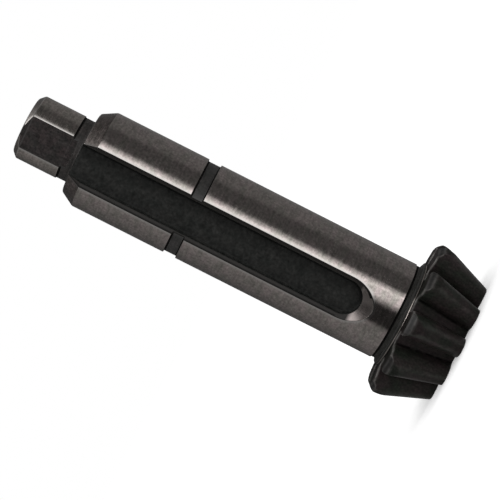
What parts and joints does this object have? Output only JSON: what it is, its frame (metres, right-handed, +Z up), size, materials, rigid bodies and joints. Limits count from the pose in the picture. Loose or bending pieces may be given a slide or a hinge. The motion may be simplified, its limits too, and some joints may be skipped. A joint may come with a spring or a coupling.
{
  "type": "straight bevel pinion shaft",
  "caption": "Straight bevel pinion in one piece with its ground shaft, with a ring groove, a long slot and a round stub that has a flat. It turns a larger bevel gear.",
  "frame": {"origin": "on the shaft's axis, in the plane of the small end of the teeth, which the part stands on", "axes": "+Z up along the shaft's axis from the teeth to the stub; -Y square out of the slot's floor and the stub's flat; +X to the right of the slot as it is looked at"},
  "size_m": [0.0304, 0.0304, 0.0887],
  "materials": {
    "steel": "ground bright on the journal, dark as cut on the teeth, the slot, the groove and the stub"
  },
  "bodies": {
    "root": {"pinion_shaft": "steel"}
  },
  "joints": []
}
